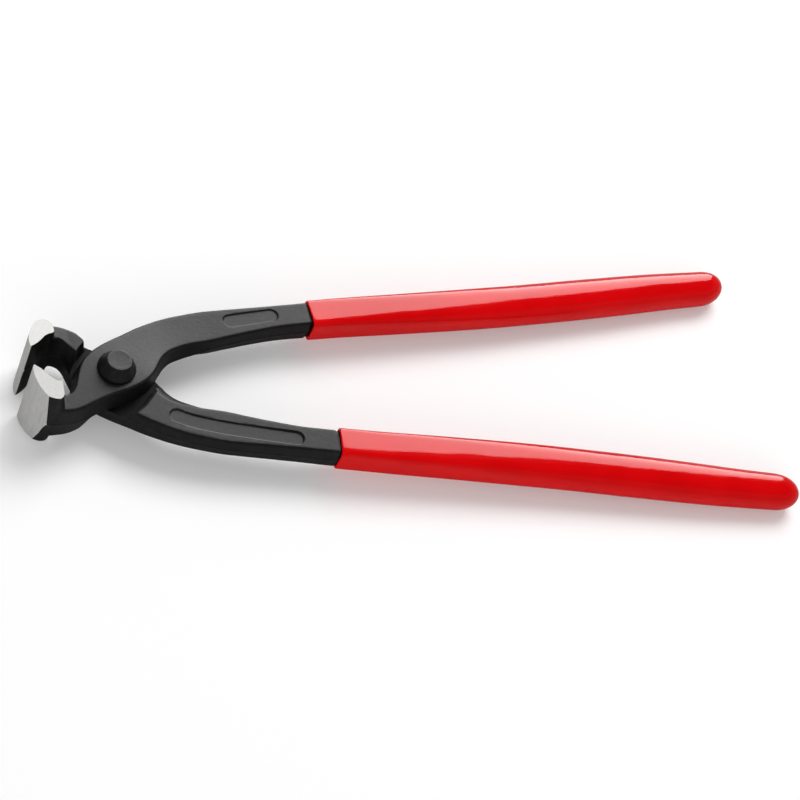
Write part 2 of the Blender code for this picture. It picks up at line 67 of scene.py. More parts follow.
# The forging seen from its plate side. Each row joins its upper left side to its lower right side
# at the parting line, from beyond the cutting edge round the jaw, over the boss and down the
# handle: x, y, x, y, then the plate's height, the bed side's height, how far the bed side stands
# back at the left and right, and how far the crotch's web stands out.
FORGING_ROWS = (
    (-30.80, -2.40, -31.10, -2.90, 7.20, 7.0, 0.0, 0.0, 0.0),
    (-29.55, -3.20, -31.80, -5.40, 7.20, 7.0, 0.0, 0.0, 0.0),
    (-28.10, -4.10, -31.90, -8.30, 7.20, 7.0, 0.0, 0.0, 0.0),
    (-26.60, -5.25, -31.00, -11.40, 7.20, 7.0, 0.0, 0.0, 0.0),
    (-25.15, -6.75, -29.20, -14.00, 7.20, 7.0, 0.0, 0.0, 0.0),
    (-23.70, -8.40, -26.70, -15.90, 7.20, 7.0, 0.0, 0.0, 0.0),
    (-22.10, -9.45, -24.10, -17.10, 7.20, 7.0, 0.0, 0.0, 0.0),
    (-20.50, -9.75, -21.40, -17.40, 7.20, 7.0, 0.0, 0.0, 0.0),
    (-18.85, -10.15, -18.90, -17.35, 7.20, 7.0, 0.0, 0.0, 0.0),
    (-17.15, -9.85, -16.60, -17.15, 7.20, 7.0, 0.0, 0.0, 0.0),
    (-15.90, -8.55, -14.45, -16.65, 7.20, 7.0, 0.2, 0.0, 0.0),
    (-15.00, -6.40, -11.65, -15.50, 7.20, 7.0, 0.9, 0.2, 0.0),
    (-14.30, -3.75, -8.45, -13.85, 7.20, 7.0, 2.0, 0.6, 0.0),
    (-13.60, -0.95, -4.95, -12.15, 7.20, 7.0, 1.5, 1.0, 0.0),
    (-12.55, 1.95, -0.90, -10.45, 7.20, 3.9, 0.0, 0.4, 0.0),
    (-11.00, 4.70, 3.50, -8.75, 7.20, 3.9, 0.0, 0.1, 0.0),
    (-8.60, 7.20, 7.80, -6.60, 7.15, 3.9, 0.0, 0.9, 0.0),
    (-5.30, 9.90, 11.35, -4.00, 6.95, 3.9, 0.0, 2.0, 0.0),
    (-1.00, 12.65, 13.80, -1.00, 6.55, 3.9, 0.0, 2.9, 0.1),
    (3.80, 15.40, 15.60, 2.20, 6.00, 3.9, 0.0, 3.2, 0.45),
    (8.40, 18.20, 17.45, 5.40, 5.42, 3.9, 0.0, 2.9, 0.75),
    (13.10, 20.60, 20.10, 8.10, 4.90, 3.9, 0.0, 2.0, 1.0),
    (18.00, 22.75, 23.60, 10.10, 4.48, 3.9, 0.0, 1.1, 1.3),
    (23.60, 24.60, 28.10, 11.80, 4.18, 3.9, 0.0, 0.5, 1.3),
    (33.20, 26.95, 36.10, 13.65, 3.97, 3.92, 0.0, 0.0, 0.45),
    (41.80, 28.10, 43.50, 15.60, 4.06, 4.06, 0.0, 0.0, 0.0),
    (51.10, 29.15, 51.70, 17.65, 4.20, 4.20, 0.0, 0.0, 0.0),
    (61.50, 30.35, 61.50, 19.75, 4.37, 4.37, 0.0, 0.0, 0.0),
    (72.70, 31.75, 72.70, 21.25, 4.55, 4.55, 0.0, 0.0, 0.0),
)
ROW_STEPS = (6, 8, 8, 9, 10, 16, 26, 26, 14, 12, 12, 12, 12, 12, 10, 10, 10, 10, 12, 12, 12,
             12, 12, 16, 12, 12, 12, 12)       # steps from each row to the next
FIRST_HANDLE_ROW = 19       # of those that give the handle's flat
HANDLE_END = FORGING_ROWS[-1][0]
# Row from which the inner side's draft sets in, on the plate side and the bed side, and row from
# which the outer side's turns into the handle's; each with the number of rows that it takes
INNER_DRAFT_ROWS, INNER_DRAFT_SPAN = (9.0, 6.5), 2.0
OUTER_DRAFT_ROW, OUTER_DRAFT_SPAN = 11.0, 3.0
SIDE_POINTS = (0.0, 0.05, 0.11, 0.24, 0.42, 0.60, 0.80)    # up a section's side, as shares
EDGE_POINTS, FLAT_POINTS = 7, 15                           # round its edge and over its flat

# Shoulders from the plate side and the bed side up to the jaw: where the foot is, its fillet and
# how steep it gets, then where the outer corner starts in plan, and its radius
PLATE_FOOT, PLATE_FILLET, PLATE_STEEP = -18.6, 0.7, 5.2
PLATE_CORNER = (14.1, 2.6)
PLATE_CORNER_RUN = 1.5      # the corner sets in over this run, so the foot stays square
BED_FOOT, BED_FILLET = -18.4, 1.6
BED_STEEP = ((13.5, 16.4), (9.0, 1.0))      # distance from the long axis, slope there
BED_CORNER = (12.7, 3.9)
BED_RISE_START, BED_RISE = -14.5, 0.16

# Ground faces of the jaw: the front face in plan, and the two sides. The waste is the outline in
# plan of what is ground off, and how far it reaches from the mid plane.
FRONT_FACE = (
    (-22.0, -3.66), (-28.82, -3.66), (-29.10, -3.86), (-29.27, -5.0), (-29.24, -6.4),
    (-29.03, -7.9), (-28.65, -9.4), (-28.10, -11.0), (-27.40, -12.5), (-26.50, -14.05),
    (-25.40, -15.6), (-24.0, -17.1), (-22.0, -18.9),
)
FRONT_WASTE = ((-22.2, -24.0), (-45.0, -24.0), (-45.0, 4.0), (-22.0, 4.0))
FRONT_WASTE_HEIGHT = 22.0
PLATE_SIDE_GRIND = (14.05, 0.04)     # height at the cutting edge and fall per mm outwards
BED_SIDE_GRIND = (14.05, 0.19)
EDGE_OFFSET = 3.65                   # cutting edge's distance from the long axis
SIDE_WASTE = ((-40.0, 0.0), (-17.9, 0.0), (-17.9, -24.0), (-40.0, -24.0))
SIDE_WASTE_HEIGHT = 24.0

# Bed in which the other lever's half turns: how deep its floor drops beyond its edge and in what
# length, towards the handle's root and towards the jaw
BED_ROOT_DROP, BED_ROOT_LENGTH = 4.2, 0.6
BED_JAW_DROP, BED_WALL_LENGTH = 7.8, 0.30
BED_JAW_REACH, BED_JAW_CLEARING = 4.7, 2.4      # farther out than this it drops on
# Angle round the rivet, and the share of BED_RADIUS by which the edge stands out there
BED_REACH = ((-170.0, -0.04), (-160.0, -0.08), (-132.0, -0.08), (-120.0, -0.03), (-110.0, 0.0),
             (-15.0, 0.0), (-7.5, 0.40), (0.0, 0.40), (6.0, 0.18), (12.0, 0.04), (20.0, -0.06),
             (30.0, -0.12), (45.0, -0.12), (64.0, -0.06), (80.0, 0.03), (95.0, 0.0),
             (177.0, 0.0))
ARM_CORNER = (228.0, 241.0)                     # angles between which the jaw's wall runs out
JAW_SIDE_START, JAW_SIDE_BLEND = 145.0, 14.0    # first angle of the jaw's half, and its blend
BED_CUT_RUN = 17.0          # how far the cutter goes beyond the bed's edge
BED_RINGS, BED_POINTS = 30, 144
CUTTER_DEPTH = 30.0         # well clear of the forging
HOLE_POINTS = 96

# Handle panels: where each starts and ends along the handle
SHORT_PANEL = (41.3, 61.6)
LONG_PANEL = (16.2, 61.0)
PANEL_HALF_WIDTH = 2.6
PANEL_OFFSET = 0.6          # from the handle's middle line to the panel's
PANEL_DEPTH = 0.38
PANEL_POINTS, PANEL_END_POINTS = 40, 15
# Inset from the panel's outline and rise from the flat, from above it to the panel's middle
PANEL_WALL = ((-0.60, 3.0), (-0.30, 0.05), (-0.16, 0.0), (-0.05, -0.05), (0.05, -0.13),
              (0.12, -0.24), (0.22, -0.32), (0.36, -0.37), (0.6, -PANEL_DEPTH),
              (1.6, -PANEL_DEPTH), (2.55, -PANEL_DEPTH))

# Grips
GRIP_START, GRIP_END = 73.7, 249.8
MOUTH_SLANT = 0.55          # the mouth stands back by this at the handle's inner side,
SLANT_FADE = 8.0            # and this far along the grip nothing is left of it
# Middle line x, y; then the skin: x, half width, half height and squareness
GRIP_LINE = ((72.8, 26.48), (90.3, 28.42), (115.4, 30.88), (150.5, 34.62), (185.7, 39.12),
             (220.8, 43.80), (250.9, 47.25))
GRIP_STATIONS = ((73.0, 5.60, 5.20, 6.5), (76.0, 5.75, 5.25, 6.0), (90.0, 6.10, 5.42, 4.7),
                 (115.0, 6.75, 5.85, 3.35), (152.0, 7.62, 6.50, 2.3), (182.0, 7.80, 6.75, 2.12),
                 (208.0, 7.62, 6.75, 2.05), (230.0, 7.05, 6.50, 2.05),
                 (250.9, 6.60, 6.20, 2.05))
GRIP_CURVE_STEPS = 16
GRIP_WALL = 0.75
CAVITY_START, CAVITY_END = 0.2, 1.6     # from the mouth, and before the grip's end
TIP_LENGTH, TIP_POWER = 10.5, 2.3       # the end rounds off so across the handle,
CROWN_LENGTH, CROWN_POWER = 8.5, 2.2    # and so in height,
TIP_LEFT, CROWN_LEFT = 0.03, 0.05       # down to these shares
LIP_LENGTH, LIP_INSET, LIP_RINGS = 0.5, 0.42, 6
SKIN_RINGS, CAVITY_RINGS, TIP_RINGS = 120, 30, 26
GRIP_POINTS = 88

# Handle inside the grip
TANG_START, TANG_ROUNDING = 75.0, 240.0     # where it starts, and where its end rounds off
TANG_SHORT, TANG_CLOSE = 2.6, 2.0           # its end, and where the rounding would close,
                                            # before the grip's end
TANG_LEFT = 0.2                             # least share that the rounding leaves
TANG_SIDE_GAP, TANG_FLAT_GAP = 0.75, 0.55   # room beside it and above it,
TANG_FIT = 0.93                             # and its share of what is left
TANG_RINGS, TANG_END_RINGS = 24, 6

# Rivet, from the mid plane up
SHANK_RADIUS, SEAT_HEIGHT = 4.0, 7.5
RIM_RADIUS, RIM_HEIGHT = 6.4, 8.15
CONE_RADIUS, TOP_RADIUS = 4.35, 4.3         # what the cone aims at, and its rolled top edge
SEAT_ROUND, RIM_ROUND, TOP_ROUND = 0.15, 0.35, 0.45
TOP_DISH = ((3.3, 0.02), (2.2, 0.05), (1.1, 0.07), (0.05, 0.08))    # radius, depth
RIVET_POINTS = 128

# Black oxide's colour, as shares of its tone, in the hollows and where it is rubbed
OXIDE_HOLLOW, OXIDE_RUBBED = (0.75, 0.745, 0.725), (1.25, 1.235, 1.19)

# Floor, lamps and camera, in metres; the lens in millimetres
FLOOR_NEAR, FLOOR_FAR = (-0.029, 0, -0.00208), (0.243, 0, 0.0056)
FLOOR_HALF = 3.0
FLOOR_TONE, FLOOR_GLOW = 0.86, 0.17
GLOSS_FLOOR_TONE, GLOSS_FLOOR_SHARE = 0.10, 0.5     # what gloss sees of the floor
LAMP_TARGET = (0.1, 0.0, 0.01)
ROOM_FILL = 0.42                            # strength of the room for matt surfaces,
ROOM_GLOSS, OVERHEAD_LOSS = 0.30, 0.26      # in gloss, and how much less of it overhead
HORIZON, OVERHEAD = (-0.02, 0.06), (0.45, 0.75)     # rises between which the tone changes
CAMERA_PLACE = (-0.1717, -0.36496, 0.53989)
CAMERA_RIGHT = (0.9192, -0.2155, 0.3295)
CAMERA_DOWN = (0.0061, -0.829, -0.5593)
CAMERA_FORWARD = (0.3937, 0.5161, -0.7607)
LENS, SENSOR_WIDTH = 90.0, 36.0
CLIP = (0.05, 20.0)


# Curves and meshes

def through(points, steps):
    """Catmull-Rom curve through the points: between b and c it is half of
    2b + (c - a) t + (2a - 5b + 4c - d) t^2 + (3b - a - 3c + d) t^3. steps is one number, or one
    per piece."""
    p = np.asarray(points, float)
    p = np.vstack((2 * p[0] - p[1], p, 2 * p[-1] - p[-2]))
    counts = np.broadcast_to(steps, len(p) - 3)
    piece = np.repeat(np.arange(len(counts)), counts)
    t = np.concatenate([np.linspace(0, 1, n, endpoint=False) for n in counts])[:, None]
    a, b, c, d = p[piece], p[piece + 1], p[piece + 2], p[piece + 3]
    line = 0.5 * (2 * b + (c - a) * t + (2 * a - 5 * b + 4 * c - d) * t ** 2
                  + (3 * b - a - 3 * c + d) * t ** 3)
    return np.vstack((line, p[-2]))


def full_turn(count):
    """Angles of one turn, evenly spaced."""
    return np.linspace(0, 2 * math.pi, count, endpoint=False)


def tube_faces(rings, count, cap_end=True):
    """Quads between neighbouring rings of a closed tube, and its end faces."""
    i = np.arange(rings - 1)[:, None] * count
    j = np.arange(count)[None, :]
    k = (j + 1) % count
    quads = np.stack((i + j, i + k, i + count + k, i + count + j), -1).reshape(-1, 4).tolist()
    quads.append(list(range(count - 1, -1, -1)))
    if cap_end:
        quads.append(list(range((rings - 1) * count, rings * count)))
    return quads


def make_mesh(name, points, faces, finish):
    """Mesh from points in millimetres about the mid plane, turned to face outwards."""
    mesh = bpy.data.meshes.new(name)
    mesh.from_pydata((np.asarray(points).reshape(-1, 3) * MM).tolist(), [], faces)
    mesh.calc_loop_triangles()
    co = np.empty(len(mesh.vertices) * 3)
    mesh.vertices.foreach_get("co", co)
    tri = np.empty(len(mesh.loop_triangles) * 3, int)
    mesh.loop_triangles.foreach_get("vertices", tri)
    a, b, c = co.reshape(-1, 3)[tri.reshape(-1, 3)].transpose(1, 0, 2)
    if np.einsum("ij,ij->", a, np.cross(b, c)) < 0:
        mesh.flip_normals()
    mesh.materials.append(finish)
    return mesh


def add_piece(name, mesh, body, node, sharp=30.0):
    """Puts a finished mesh in the scene, riding on its body in place of its CAD node."""
    mesh.name = name
    mesh.shade_smooth()
    mesh.set_sharp_from_angle(angle=math.radians(sharp))
    obj = bpy.data.objects.new(name, mesh)
    bpy.context.scene.collection.objects.link(obj)
    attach(obj, body)
    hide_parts(node)


def placed(mesh, turned):
    """Copy of a mesh in the frame, after half a turn about X for the lower lever."""
    copy = mesh.copy()
    turn = Matrix.Rotation(math.pi, 4, "X") if turned else Matrix.Identity(4)
    copy.transform(Matrix.Translation((0, 0, LIFT * MM)) @ turn)
    return copy


def cut(mesh, cutters):
    """The mesh after each cutter is taken out of it; cut faces keep the cutter's finish."""
    body = bpy.data.objects.new("blank", mesh)
    bpy.context.scene.collection.objects.link(body)
    tools = []
    for cutter in cutters:
        tool = bpy.data.objects.new("cutter", cutter)
        bpy.context.scene.collection.objects.link(tool)
        mod = body.modifiers.new("cut", "BOOLEAN")
        mod.operation, mod.solver, mod.material_mode = "DIFFERENCE", "EXACT", "TRANSFER"
        mod.object = tool
        tools.append(tool)
    bpy.context.view_layer.update()
    graph = bpy.context.evaluated_depsgraph_get()
    result = bpy.data.meshes.new_from_object(body.evaluated_get(graph))
    for obj in [body] + tools:
        bpy.data.objects.remove(obj, do_unlink=True)
    return result


# The forging

def shoulder(distance, radius, slope):
    """Rise of a fillet: radius - sqrt(radius^2 - distance^2), which runs on straight once it is
    as steep as slope."""
    steep = radius * slope / np.hypot(1.0, slope)
    inside = np.clip(distance, 0.0, steep)
    rise = radius - np.sqrt(radius ** 2 - inside ** 2)
    return rise + slope * np.maximum(distance - steep, 0.0)


def round_corner(y, start, radius):
    """How far a quarter circle in plan falls back: radius - sqrt(radius^2 - distance^2), with
    the distance held just short of the radius."""
    inside = np.clip(-y - start, 0.0, 0.99 * radius)
    return radius - np.sqrt(radius ** 2 - inside ** 2)


def plate_height(x, y, base):
    """Height of the plate side: base, and at the jaw a steep shoulder up to its blank height,
    square at its foot and rounded at its top towards the jaw's outer side."""
    run = PLATE_FOOT - x
    back = round_corner(y, *PLATE_CORNER) * np.clip(run / PLATE_CORNER_RUN, 0.0, 1.0)
    return np.minimum(base + shoulder(run - back, PLATE_FILLET, PLATE_STEEP), JAW_BLANK_HEIGHT)


def bed_height(x, y, base):
    """Depth of the bed side, alike, with a longer fillet on a slight rise and a gentler
    slope at the outer side."""
    back = round_corner(y, *BED_CORNER)
    rise = BED_RISE * np.maximum(BED_RISE_START - x, 0.0)
    slope = np.interp(-y, *BED_STEEP)
    return np.minimum(base + rise + shoulder(BED_FOOT - x - back, BED_FILLET, slope),
                      JAW_BLANK_HEIGHT)


def half_section(left, right, base, height_of, draft, setback, web, sign):
    """Upper or lower half of every row's section, from the right parting line to the left one.

    A side leans in by draft * (sqrt(z^2 + r^2) - r) plus its setback in proportion to z, turns
    through a quarter circle of the edge radius and meets the flat, whose height comes from
    height_of at its own place. At its foot the flash adds PARTING_RIDGE * exp(-(z / fade)^2), and
    the web adds web * (1 - z / height)^WEB_TAPER to the right side.
    """
    across = right - left
    width = np.linalg.norm(across, axis=1)[:, None]
    across = across / width
    edge = np.minimum(FORGED_EDGE, FORGED_EDGE_SHARE * width)
    base = base[:, None]

    def xy(place):
        return left[:, None, :] + across[:, None, :] * place[:, :, None]

    def lean(z, drafts):
        return drafts * (np.sqrt(z * z + PARTING_ROUND ** 2) - PARTING_ROUND)

    def rim(from_right, drafts, back):
        inset = np.full_like(width, 1.5)    # a first guess, which three rounds settle
        for _ in range(3):
            at = xy(width - inset if from_right else inset)
            top = height_of(at[..., 0], at[..., 1], base)
            inset = np.minimum(lean(top, drafts) + back, LEAN_SHARE * width) + edge
        return top, inset

    rows = []
    arc = np.linspace(0.0, math.pi / 2, EDGE_POINTS)[None, :]
    wall = np.array(SIDE_POINTS)[None, :]
    for side, from_right in ((1, True), (0, False)):
        drafts, back = draft[:, side:side + 1], setback[:, side:side + 1]
        top, inset = rim(from_right, drafts, back)
        foot = inset - edge
        z = wall * (top - edge)
        proud = (web[:, None] * (1 - z / top) ** WEB_TAPER) if from_right else 0.0
        full = np.maximum(lean(top - edge, drafts) + back, 1e-6)
        flash = PARTING_RIDGE * np.exp(-(z / PARTING_FADE) ** 2)
        side_place = (lean(z, drafts) + back * z / top) * foot / full - proud - flash
        turn_place = foot + edge * (1 - np.cos(arc))
        turn_z = top - edge * (1 - np.sin(arc))
        place = np.hstack((side_place, turn_place))
        height = np.hstack((z, turn_z))
        at = xy(width - place if from_right else place)
        height = height * np.minimum(height_of(at[..., 0], at[..., 1], base) / top, 1.0)
        if from_right:
            rows.append((width - place, height))
        else:
            rows.append((place[:, ::-1], height[:, ::-1]))
    (right_place, right_z), (left_place, left_z) = rows
    share = np.linspace(0.0, 1.0, FLAT_POINTS)[None, 1:-1]
    flat = right_place[:, -1:] + (left_place[:, :1] - right_place[:, -1:]) * share
    at = xy(flat)
    flat_z = height_of(at[..., 0], at[..., 1], base)
    place = np.hstack((right_place, flat, left_place))
    z = np.hstack((right_z, flat_z, left_z))
    return np.dstack((xy(place), sign * z[:, :, None]))


def forging_mesh(finish):
    """Blank of the lever: its rows carried from beyond the cutting edge to the handle's end.
    index counts the rows, also between them, for the drafts that set in from row to row."""
    rows = through(FORGING_ROWS, ROW_STEPS)
    index = np.concatenate([np.linspace(i, i + 1, n, endpoint=False)
                            for i, n in enumerate(ROW_STEPS)] + [[len(ROW_STEPS)]])
    left, right = rows[:, 0:2], rows[:, 2:4]
    plate_inner, bed_inner = (np.clip((index - first) / INNER_DRAFT_SPAN, 0, 1) * HANDLE_DRAFT
                              for first in INNER_DRAFT_ROWS)
    flank = np.clip((index - OUTER_DRAFT_ROW) / OUTER_DRAFT_SPAN, 0, 1)
    plate_outer, bed_outer = (draft + (HANDLE_DRAFT - draft) * flank
                              for draft in (PLATE_FLANK_DRAFT, BED_FLANK_DRAFT))
    setback = np.maximum(rows[:, 6:8], 0.0)
    web = np.maximum(rows[:, 8], 0.0)
    none = np.zeros_like(setback)
    upper = half_section(left, right, rows[:, 4], plate_height,
                         np.stack((plate_inner, plate_outer), 1), none, web, 1)
    lower = half_section(left, right, rows[:, 5], bed_height,
                         np.stack((bed_inner, bed_outer), 1), setback, web, -1)
    rings = np.concatenate((upper, lower[:, ::-1][:, 1:-1]), axis=1)
    rings = np.concatenate((rings, tang_rings(rings[-1])))
    return make_mesh("forging", rings, tube_faces(len(rings), rings.shape[1]), finish)


def tang_rings(last):
    """Handle inside the grip: the last section carried on along the grip's middle line, scaled
    to stay a little inside the sleeve, and drawn in over its end by sqrt(1 - run^2)."""
    x = np.concatenate((np.linspace(TANG_START, TANG_ROUNDING, TANG_RINGS),
                        np.linspace(TANG_ROUNDING + 2, GRIP_END - TANG_SHORT, TANG_END_RINGS)))
    run = ((x - TANG_ROUNDING) / (GRIP_END - TANG_CLOSE - TANG_ROUNDING)).clip(0)
    ease = np.sqrt(np.clip(1 - run ** 2, 0, 1)).clip(TANG_LEFT)
    shape = last[None, :, 1] - grip_middle(np.array([HANDLE_END]))
    half_w, half_h, _ = grip_size(x)
    wide = (half_w - GRIP_WALL - TANG_SIDE_GAP) * ease / np.abs(shape).max()
    high = (half_h - GRIP_WALL - TANG_FLAT_GAP) * ease / np.abs(last[:, 2]).max()
    return np.dstack((np.broadcast_to(x[:, None], (len(x), len(last))),
                      grip_middle(x)[:, None] + shape * wide[:, None] * TANG_FIT,
                      last[None, :, 2] * high[:, None] * TANG_FIT))


def front_grind(finish):
    """Everything in front of the jaw's ground face: its line in plan, carried through the
    jaw's height."""
    line = through(FRONT_FACE[2:], CURVE_STEPS)
    outline = np.vstack((FRONT_FACE[:2], line, FRONT_WASTE))
    rings = [np.column_stack((outline, np.full(len(outline), z)))
             for z in (-FRONT_WASTE_HEIGHT, FRONT_WASTE_HEIGHT)]
    return make_mesh("front_grind", np.array(rings), tube_faces(2, len(outline)), finish)


def side_grind(height, fall, sign, finish):
    """Everything beyond one ground side of the jaw: z = height - fall * (distance outwards)."""
    face = [(x, y, sign * (height - fall * (-y - EDGE_OFFSET))) for x, y in SIDE_WASTE]
    far = [(x, y, sign * SIDE_WASTE_HEIGHT) for x, y in SIDE_WASTE]
    return make_mesh("side_grind", np.array([face, far]), tube_faces(2, 4), finish)


def bed_edge(angle):
    """Radius of the bed's edge at an angle in degrees: BED_RADIUS * (1 + share)."""
    share = np.interp((angle + 180) % 360 - 180, *np.transpose(BED_REACH))
    return BED_RADIUS * (1 + share)


def bed_floor(x, y):
    """Height of the bed's floor: level to its edge, then down by drop * (1 - exp(-run / l)),
    as a low shoulder towards the handle and as a high wall towards the jaw, which runs out
    across the arm's outer corner. Far out at the jaw ((run - reach) / clearing)^2 is added."""
    angle = np.degrees(np.arctan2(y, x)) % 360
    run = np.maximum(np.hypot(x, y) - bed_edge(angle), 0.0)
    eased = BED_ROOT_DROP * (1 - np.exp(-run / BED_ROOT_LENGTH))
    corner = np.interp(angle, ARM_CORNER, (0.0, 1.0))
    corner = corner * corner * (3 - 2 * corner)
    clearing = np.maximum(run - BED_JAW_REACH, 0.0) / BED_JAW_CLEARING
    steep = BED_JAW_DROP * (1 - np.exp(-run / BED_WALL_LENGTH) + clearing ** 2) * (1 - corner)
    turned = (angle - JAW_SIDE_START) % 360
    from_edge = np.where(turned < 180, np.minimum(turned, 180 - turned),
                         -np.minimum(turned - 180, 360 - turned))
    jaw = np.clip(0.5 + from_edge / JAW_SIDE_BLEND, 0.0, 1.0)
    return JOINT_GAP / 2 - eased - (steep - eased) * jaw


def bed_cutter(finish):
    """Solid under the bed's floor: rings about the rivet's axis, at the bed's edge plus the
    square of an even run, closed far below."""
    angle = full_turn(BED_POINTS)
    runs = BED_CUT_RUN * np.linspace(0.0, 1.0, BED_RINGS) ** 2
    radius = runs[:, None] + bed_edge(np.degrees(angle))[None, :]
    x, y = radius * np.cos(angle), radius * np.sin(angle)
    under = np.stack((x[-1], y[-1], np.full(len(angle), -CUTTER_DEPTH)), -1)
    rings = np.concatenate((np.stack((x, y, bed_floor(x, y)), -1), under[None]))
    return make_mesh("bed", rings, tube_faces(len(rings), len(angle)), finish)


def hole_cutter(finish):
    """Plain round hole for the rivet's shank."""
    angle = full_turn(HOLE_POINTS)
    ring = np.column_stack((SHANK_HOLE * np.cos(angle), SHANK_HOLE * np.sin(angle)))
    rings = [np.column_stack((ring, np.full(len(ring), z))) for z in (-CUTTER_DEPTH, CUTTER_DEPTH)]
    return make_mesh("hole", np.array(rings), tube_faces(2, len(ring)), finish)


def handle_flat(x):
    """Middle of the handle's flat and its two half heights, between the head and the grip."""
    rows = np.array(FORGING_ROWS[FIRST_HANDLE_ROW:])
    middle = (rows[:, 0:2] + rows[:, 2:4]) / 2
    fine = through(np.column_stack((middle, rows[:, 4:6])), CURVE_STEPS)
    return [np.interp(x, fine[:, 0], fine[:, k]) for k in (1, 2, 3)]


def panel_cutter(start, end, on_plate, finish):
    """Shallow pressed panel with round ends. Rings of its outline step inwards and down from
    above the flat, over a rounded brink and wall to the floor, and end on its middle line."""
    r = PANEL_HALF_WIDTH
    x = np.linspace(start + r, end - r, PANEL_POINTS)
    mid = np.column_stack((x, handle_flat(x)[0] + PANEL_OFFSET))
    along = np.gradient(mid, axis=0)
    along /= np.linalg.norm(along, axis=1)[:, None]
    across = np.column_stack((-along[:, 1], along[:, 0]))
    turn = np.linspace(-math.pi / 2, math.pi / 2, PANEL_END_POINTS)[1:-1, None]
    spine = np.vstack((mid, np.repeat(mid[-1:], len(turn), 0), mid[::-1],
                       np.repeat(mid[:1], len(turn), 0)))
    ray = np.vstack((-across, along[-1] * np.cos(turn) + across[-1] * np.sin(turn),
                     across[::-1], -along[0] * np.cos(turn) - across[0] * np.sin(turn)))
    rings = []
    for inset, rise in PANEL_WALL:
        at = spine + ray * (r - inset)
        _, top, bottom = handle_flat(at[:, 0])
        if on_plate:
            rings.append(np.column_stack((at, top + rise)))
        else:
            level = np.maximum(-bottom, bed_floor(at[:, 0], at[:, 1]))
            rings.append(np.column_stack((at, level - rise)))
    count = len(spine)
    faces = tube_faces(len(rings), count, cap_end=False)
    last, n, m = (len(rings) - 1) * count, len(mid), len(turn)
    one = last + np.arange(n)
    other = last + n + m + np.arange(n)[::-1]
    faces += np.stack((one[:-1], one[1:], other[1:], other[:-1]), -1).tolist()
    faces.append([int(one[-1])] + list(range(last + n, last + n + m)) + [int(other[-1])])
    faces.append([int(other[0])] + list(range(last + 2 * n + m, last + count)) + [int(one[0])])
    return make_mesh("panel", np.array(rings), faces, finish)


# Grips and rivet

def grip_middle(x):
    """Place across the tool of the curve through GRIP_LINE."""
    line = through(GRIP_LINE, GRIP_CURVE_STEPS)
    return np.interp(x, line[:, 0], line[:, 1])


def grip_size(x):
    """Half width, half height and squareness of the grip's skin at a place along it."""
    sizes = through(GRIP_STATIONS, GRIP_CURVE_STEPS)
    return [np.interp(x, sizes[:, 0], sizes[:, k]) for k in (1, 2, 3)]


def oval(x, inset, wide, high):
    """Superellipses across the grip: |dy / w|^n + |dz / h|^n = 1, as one ring for each x, which
    near the mouth is sheared by the slant times dy / w."""
    w, h, n = (v[:, None] for v in grip_size(x))
    t = (np.arange(GRIP_POINTS) * 2 * math.pi / GRIP_POINTS)[None, :]
    c, s = np.cos(t), np.sin(t)
    dy = -(w - inset[:, None]) * wide[:, None] * np.sign(c) * np.abs(c) ** (2 / n)
    dz = (h - inset[:, None]) * high[:, None] * np.sign(s) * np.abs(s) ** (2 / n)
    fade = np.clip(1 - (x[:, None] - GRIP_START) / SLANT_FADE, 0, 1) ** 2
    at = x[:, None] - MOUTH_SLANT * fade * dy / w
    return np.dstack((at, grip_middle(x)[:, None] + dy, dz))


def grip_mesh(finish):
    """Sleeve: from the cavity's bottom out to the mouth, over its rolled lip and along the
    outer skin to the closed end. Over its last length the end is drawn in by
    sqrt(1 - run^power), sooner across the handle than in height."""
    def skin(start, end, inset, count):
        turn = np.linspace(0, math.pi / 2, TIP_RINGS)
        x = np.concatenate((np.linspace(start, end - TIP_LENGTH, count, endpoint=False),
                            end - TIP_LENGTH + TIP_LENGTH * np.sin(turn)))
        tip = ((x - end + TIP_LENGTH) / TIP_LENGTH).clip(0) ** TIP_POWER
        crown = ((x - end + CROWN_LENGTH) / CROWN_LENGTH).clip(0) ** CROWN_POWER
        wide = np.sqrt(np.clip(1 - tip, 0, 1)).clip(TIP_LEFT)
        high = np.sqrt(np.clip(1 - crown, 0, 1)).clip(CROWN_LEFT)
        return oval(x, np.full(len(x), inset), wide, high)

    outer = skin(GRIP_START + LIP_LENGTH, GRIP_END, 0.0, SKIN_RINGS)
    inner = skin(GRIP_START + CAVITY_START, GRIP_END - CAVITY_END, GRIP_WALL, CAVITY_RINGS)[::-1]
    turn = np.linspace(math.pi / 2, 0, LIP_RINGS, endpoint=False)
    lip_x = GRIP_START + LIP_LENGTH * (1 - np.sin(turn))
    even = np.ones(LIP_RINGS)
    lip = oval(lip_x, LIP_INSET * (1 - np.cos(turn)), even, even)
    rings = np.concatenate((inner, lip, outer))
    return make_mesh("grip", rings, tube_faces(len(rings), rings.shape[1]), finish)


